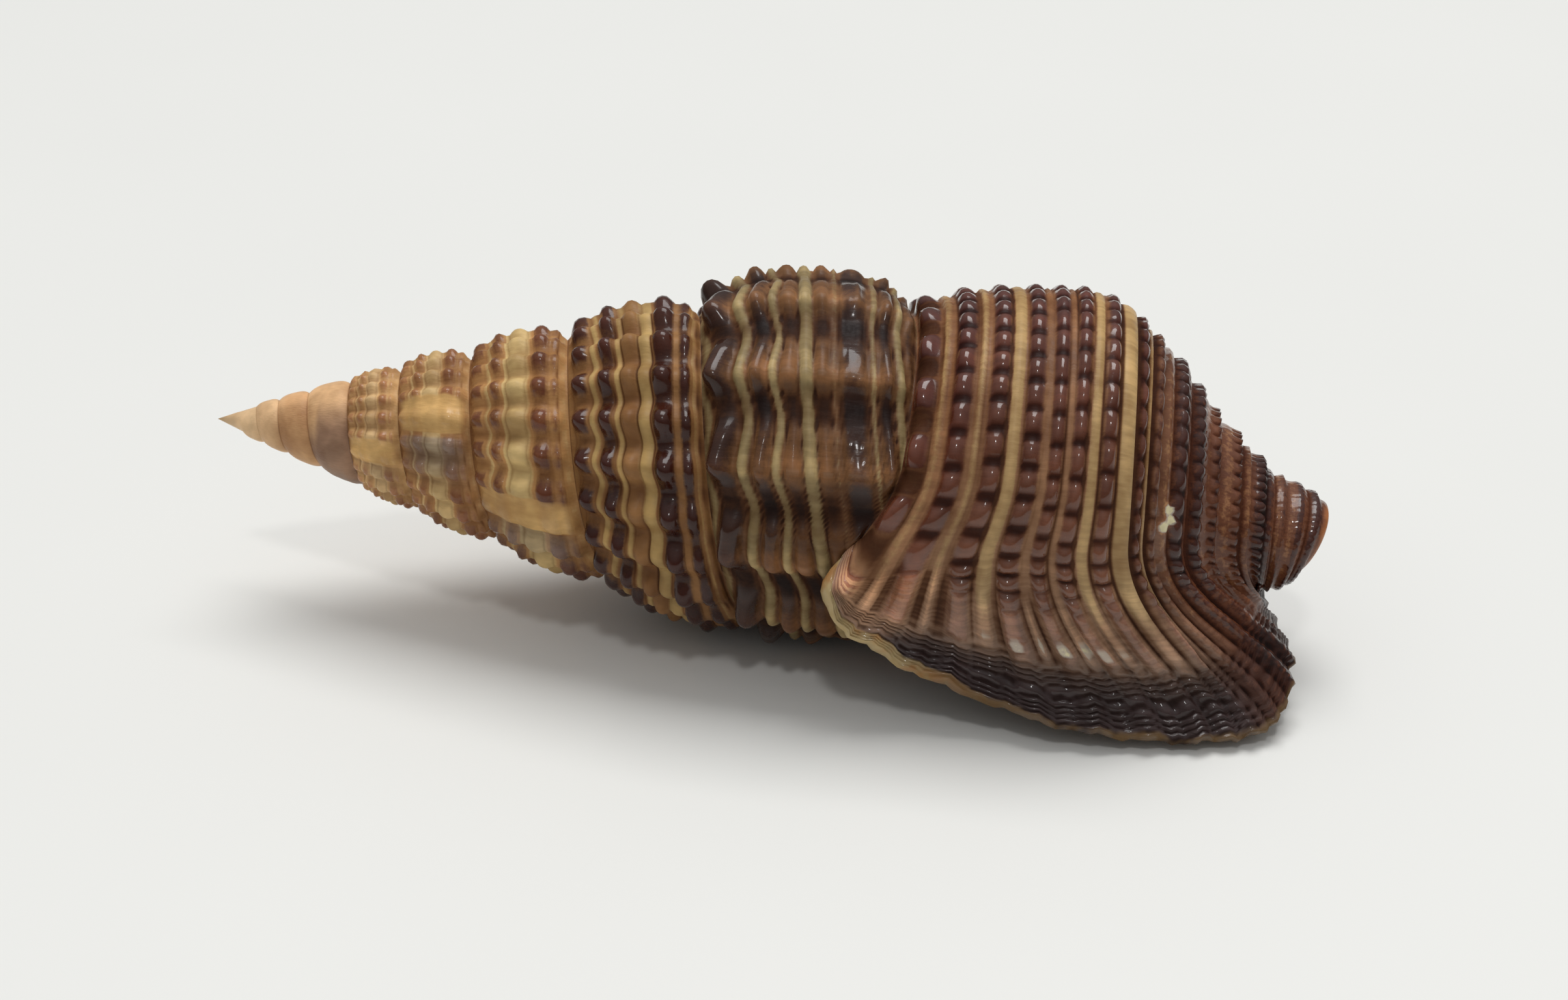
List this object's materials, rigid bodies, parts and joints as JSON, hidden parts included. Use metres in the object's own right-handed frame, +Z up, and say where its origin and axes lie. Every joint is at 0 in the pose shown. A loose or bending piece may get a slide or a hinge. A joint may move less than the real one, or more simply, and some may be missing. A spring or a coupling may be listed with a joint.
{
  "type": "cerith seashell",
  "caption": "Long tapering spiral seashell with beaded cords, a flared outer lip and a short siphonal spout, lying on its aperture.",
  "frame": {"origin": "centre of the bounding box's bottom, on the surface that the shell rests on", "axes": "+Z up as the shell lies, +X along its length from apex to siphonal spout, -Y towards the flared outer lip"},
  "size_m": [0.048, 0.018, 0.0157],
  "materials": {
    "shell": "semi-gloss natural shell"
  },
  "bodies": {
    "root": {"shell": "shell"}
  },
  "joints": []
}
